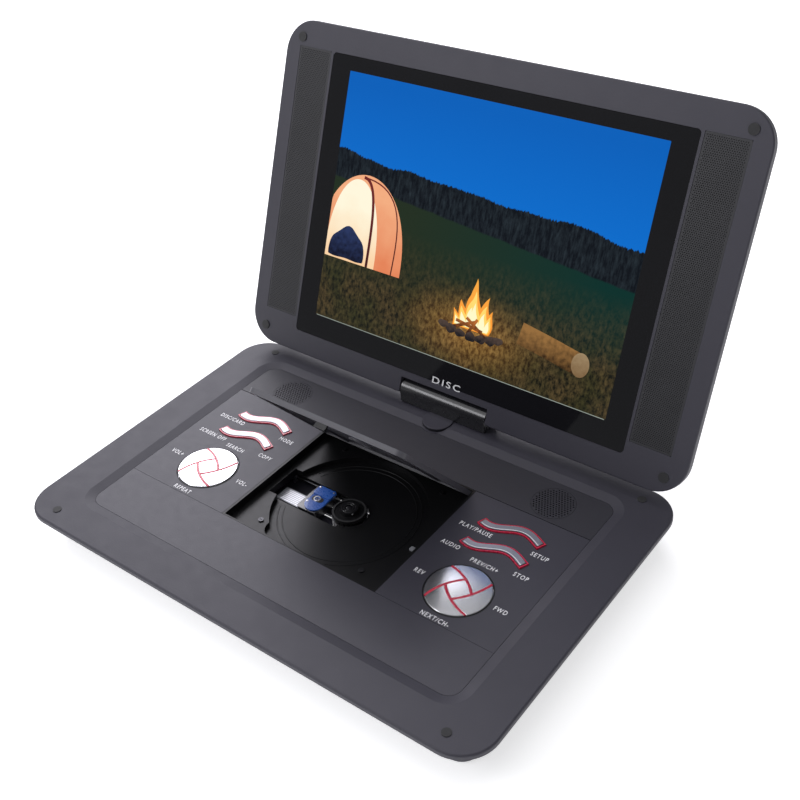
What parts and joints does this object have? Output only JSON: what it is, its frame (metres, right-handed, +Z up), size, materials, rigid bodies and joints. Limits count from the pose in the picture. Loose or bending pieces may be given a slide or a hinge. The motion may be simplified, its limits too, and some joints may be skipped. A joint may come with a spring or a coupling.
{
  "type": "portable dvd player",
  "caption": "Portable disc player: flat base with a top-loading disc well and two key panels, and a wide display on a central tilt and swivel hinge.",
  "frame": {"origin": "centre of the bounding box in plan, on the plane that the feet stand on, with the display open as posed", "axes": "+X to the player's right, +Y to the rear, +Z up"},
  "size_m": [0.427, 0.3828, 0.3027],
  "materials": {
    "case_plastic": "fine satin texture",
    "deck_plastic": "fine honeycomb texture",
    "well_plastic": "smooth black",
    "screen_window": "high gloss black frame around a lit picture",
    "mesh": "fine pierced dots",
    "chrome_key": "polished plating with red lines between keys",
    "red_plastic": "gloss moulded",
    "rubber": "soft matte",
    "steel": "brushed",
    "cast_metal": "satin black paint",
    "brass": "turned",
    "aluminium": "foil wrapped",
    "circuit": "solder mask",
    "pickup_blue": "moulded blue",
    "flex_silver": "silver film",
    "lens_glass": "coated",
    "white_plastic": "diffuser film"
  },
  "bodies": {
    "base": {"bottom_case": "case_plastic", "top_case": "case_plastic", "front_strip": "case_plastic", "left_control_panel": "case_plastic", "right_control_panel": "case_plastic", "speaker_deck": "deck_plastic", "speaker_grilles": "deck_plastic", "disc_tray": "well_plastic", "screws": "steel", "rubber_feet": "rubber", "base_corner_plugs": "rubber", "speakers": "cast_metal", "circuit_boards": "circuit", "key_boards": "circuit", "battery_pack": "aluminium", "audio_jacks": "well_plastic", "dc_jack": "well_plastic", "usb_port": "steel", "card_slot": "steel", "drive_chassis": "steel", "guide_rods": "steel", "spindle_motor": "steel", "sled_motor": "steel", "swivel_bushing": "brass"},
    "power_switch": {"power_switch": "case_plastic"},
    "turntable": {"turntable": "well_plastic"},
    "lead_screw": {"lead_screw": "steel"},
    "pickup": {"pickup_sled": "pickup_blue", "pickup_lens": "lens_glass", "pickup_flex": "flex_silver"},
    "disc_door": {"disc_door": "case_plastic", "door_hinge_pins": "steel", "door_latch": "well_plastic"},
    "swivel": {"swivel_block": "cast_metal", "swivel_tube": "steel", "swivel_clip": "steel"},
    "screen": {"screen_front_bezel": "case_plastic", "screen_back_cover": "case_plastic", "screen_screws": "steel", "display_glass": "screen_window", "lcd_panel": "screen_window", "backlight": "white_plastic", "mesh_strips": "mesh", "screen_bumpers": "rubber", "screen_board": "circuit", "hinge_brackets": "steel"},
    "left_dial_centre": {"left_dial_centre": "chrome_key"},
    "left_dial_key_a": {"left_dial_key_a": "chrome_key"},
    "left_dial_key_b": {"left_dial_key_b": "chrome_key"},
    "left_dial_key_c": {"left_dial_key_c": "chrome_key"},
    "left_dial_key_d": {"left_dial_key_d": "chrome_key"},
    "right_dial_centre": {"right_dial_centre": "chrome_key"},
    "right_dial_key_a": {"right_dial_key_a": "chrome_key"},
    "right_dial_key_b": {"right_dial_key_b": "chrome_key"},
    "right_dial_key_c": {"right_dial_key_c": "chrome_key"},
    "right_dial_key_d": {"right_dial_key_d": "chrome_key"},
    "left_wave_key_rear": {"left_wave_key_rear": "red_plastic"},
    "left_wave_key_front": {"left_wave_key_front": "red_plastic"},
    "right_wave_key_rear": {"right_wave_key_rear": "red_plastic"},
    "right_wave_key_front": {"right_wave_key_front": "red_plastic"}
  },
  "joints": [
    {"name": "screen_swivel", "type": "hinge", "parent": "base", "child": "swivel", "pos_m": [0, 0.0715, 0.03], "axis": [0, 0, 1], "range_deg": [-30, 30]},
    {"name": "screen_tilt", "type": "hinge", "parent": "swivel", "child": "screen", "pos_m": [0, 0.0855, 0.0425], "axis": [-1, 0, 0], "range_deg": [-111.5, 68.5]},
    {"name": "disc_door_hinge", "type": "hinge", "parent": "base", "child": "disc_door", "pos_m": [0, 0.0145, 0.028], "axis": [-1, 0, 0], "range_deg": [-50.1, 30.8]},
    {"name": "turntable_spin", "type": "hinge", "parent": "base", "child": "turntable", "pos_m": [0, -0.0465, 0.022], "axis": [0, 0, 1], "continuous": true},
    {"name": "pickup_slide", "type": "slide", "parent": "base", "child": "pickup", "axis": [-1, 0, 0], "range_m": [-0.007, 0.0255]},
    {"name": "lead_screw_spin", "type": "hinge", "parent": "base", "child": "lead_screw", "pos_m": [-0.035, -0.0742, 0.0115], "axis": [1, 0, 0], "range_deg": [-845, 3065]},
    {"name": "power_switch_slide", "type": "slide", "parent": "base", "child": "power_switch", "axis": [0, 1, 0], "range_m": [0, 0.005]},
    {"name": "left_dial_centre_press", "type": "slide", "parent": "base", "child": "left_dial_centre", "axis": [0, 0, -1], "range_m": [0, 0.0006], "stiffness_N_per_m": 600, "springref_m": -0.0006},
    {"name": "left_dial_key_a_press", "type": "slide", "parent": "base", "child": "left_dial_key_a", "axis": [0, 0, -1], "range_m": [0, 0.0006], "stiffness_N_per_m": 600, "springref_m": -0.0006},
    {"name": "left_dial_key_b_press", "type": "slide", "parent": "base", "child": "left_dial_key_b", "axis": [0, 0, -1], "range_m": [0, 0.0006], "stiffness_N_per_m": 600, "springref_m": -0.0006},
    {"name": "left_dial_key_c_press", "type": "slide", "parent": "base", "child": "left_dial_key_c", "axis": [0, 0, -1], "range_m": [0, 0.0006], "stiffness_N_per_m": 600, "springref_m": -0.0006},
    {"name": "left_dial_key_d_press", "type": "slide", "parent": "base", "child": "left_dial_key_d", "axis": [0, 0, -1], "range_m": [0, 0.0006], "stiffness_N_per_m": 600, "springref_m": -0.0006},
    {"name": "right_dial_centre_press", "type": "slide", "parent": "base", "child": "right_dial_centre", "axis": [0, 0, -1], "range_m": [0, 0.0006], "stiffness_N_per_m": 600, "springref_m": -0.0006},
    {"name": "right_dial_key_a_press", "type": "slide", "parent": "base", "child": "right_dial_key_a", "axis": [0, 0, -1], "range_m": [0, 0.0006], "stiffness_N_per_m": 600, "springref_m": -0.0006},
    {"name": "right_dial_key_b_press", "type": "slide", "parent": "base", "child": "right_dial_key_b", "axis": [0, 0, -1], "range_m": [0, 0.0006], "stiffness_N_per_m": 600, "springref_m": -0.0006},
    {"name": "right_dial_key_c_press", "type": "slide", "parent": "base", "child": "right_dial_key_c", "axis": [0, 0, -1], "range_m": [0, 0.0006], "stiffness_N_per_m": 600, "springref_m": -0.0006},
    {"name": "right_dial_key_d_press", "type": "slide", "parent": "base", "child": "right_dial_key_d", "axis": [0, 0, -1], "range_m": [0, 0.0006], "stiffness_N_per_m": 600, "springref_m": -0.0006},
    {"name": "left_wave_key_rear_press", "type": "slide", "parent": "base", "child": "left_wave_key_rear", "axis": [0, 0, -1], "range_m": [0, 0.0006], "stiffness_N_per_m": 600, "springref_m": -0.0006},
    {"name": "left_wave_key_front_press", "type": "slide", "parent": "base", "child": "left_wave_key_front", "axis": [0, 0, -1], "range_m": [0, 0.0006], "stiffness_N_per_m": 600, "springref_m": -0.0006},
    {"name": "right_wave_key_rear_press", "type": "slide", "parent": "base", "child": "right_wave_key_rear", "axis": [0, 0, -1], "range_m": [0, 0.0006], "stiffness_N_per_m": 600, "springref_m": -0.0006},
    {"name": "right_wave_key_front_press", "type": "slide", "parent": "base", "child": "right_wave_key_front", "axis": [0, 0, -1], "range_m": [0, 0.0006], "stiffness_N_per_m": 600, "springref_m": -0.0006}
  ],
  "couplings": [
    {"joint": "disc_door_hinge", "follows": "screen_tilt", "ratio": 0.44843},
    {"joint": "lead_screw_spin", "follows": "pickup_slide", "rad_per_m": 2094.4}
  ]
}
